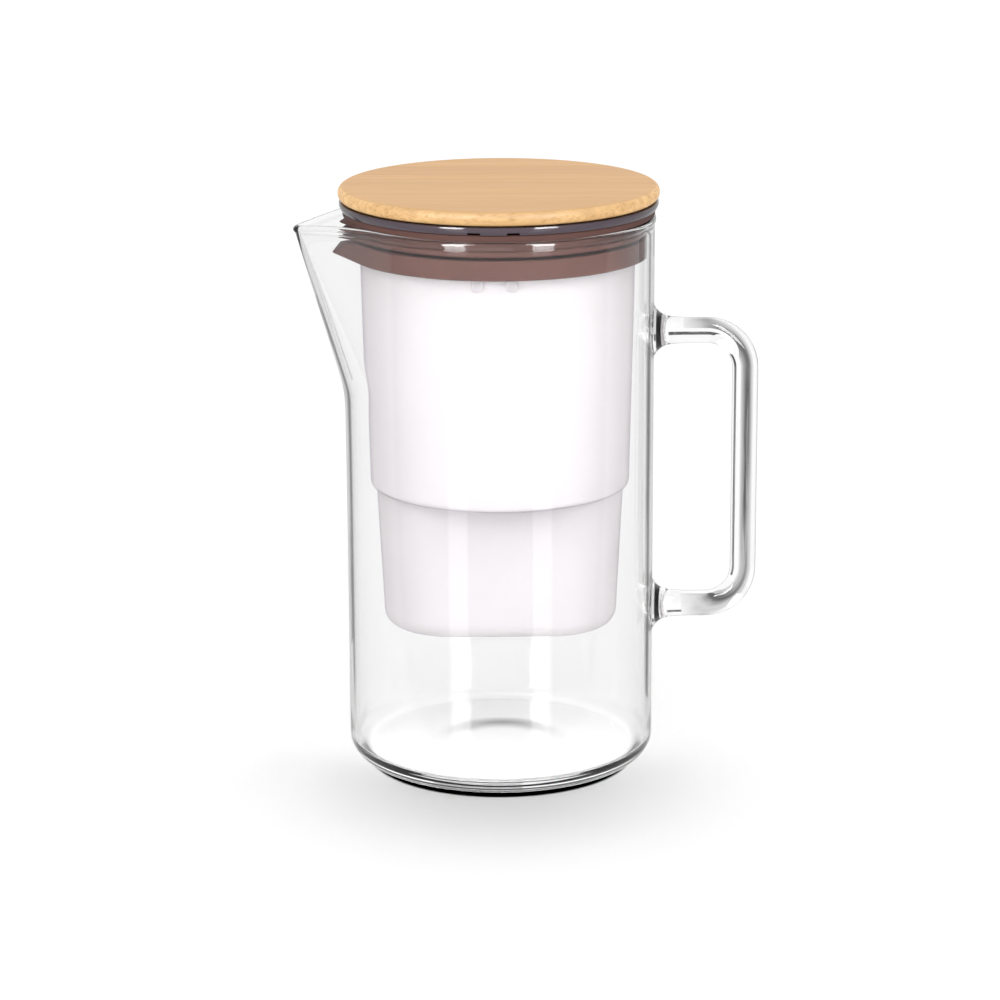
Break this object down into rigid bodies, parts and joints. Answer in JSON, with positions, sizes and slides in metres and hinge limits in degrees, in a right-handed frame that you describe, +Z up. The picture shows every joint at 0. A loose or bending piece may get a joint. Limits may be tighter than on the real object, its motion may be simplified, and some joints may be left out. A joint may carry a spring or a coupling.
{
  "type": "water filter pitcher",
  "caption": "Glass water filter pitcher with a V spout and rod handle, a lift-out plastic filter funnel with cartridge, a silicone neck gasket and a lift-off bamboo lid.",
  "frame": {"origin": "centre of the jug's base on the table plane, on the axis of the glass body", "axes": "+Z up along the body's axis; the spout points to -X and the handle to +X; the picture looks along +Y"},
  "size_m": [0.1869, 0.1288, 0.238],
  "materials": {
    "clear_glass": "fire polished",
    "brown_silicone": "satin",
    "smoked_plastic": "polished, tinted",
    "frosted_plastic": "frosted",
    "cartridge_plastic": "moulded",
    "cap_plastic": "moulded",
    "grey_silicone": "satin",
    "screen_plastic": "moulded",
    "filter_felt": "felted",
    "active_carbon": "granular",
    "ion_resin": "granular",
    "bamboo": "oiled, fine sanded",
    "bamboo_core": "sanded",
    "clear_silicone": "satin",
    "screw_steel": "plain"
  },
  "bodies": {
    "jug": {"jug_glass": "clear_glass", "handle": "clear_glass"},
    "funnel": {"neck_gasket": "brown_silicone", "collar": "smoked_plastic", "reservoir": "frosted_plastic"},
    "cartridge": {"cartridge_housing": "cartridge_plastic", "cartridge_cap": "cap_plastic", "cartridge_seal": "grey_silicone", "inlet_screen": "screen_plastic", "upper_felt": "filter_felt", "carbon_bed": "active_carbon", "middle_felt": "filter_felt", "resin_bed": "ion_resin", "lower_felt": "filter_felt", "outlet_screen": "screen_plastic"},
    "lid": {"lid_board": "bamboo", "lid_plug": "bamboo_core", "lid_gasket": "clear_silicone", "lid_screws": "screw_steel"}
  },
  "joints": [
    {"name": "funnel_lift", "type": "slide", "parent": "jug", "child": "funnel", "axis": [0, 0, 1], "range_m": [0, 0.18]},
    {"name": "cartridge_lift", "type": "slide", "parent": "funnel", "child": "cartridge", "axis": [0, 0, 1], "range_m": [0, 0.07]},
    {"name": "lid_lift", "type": "slide", "parent": "funnel", "child": "lid", "axis": [0, 0, 1], "range_m": [0, 0.06]}
  ]
}
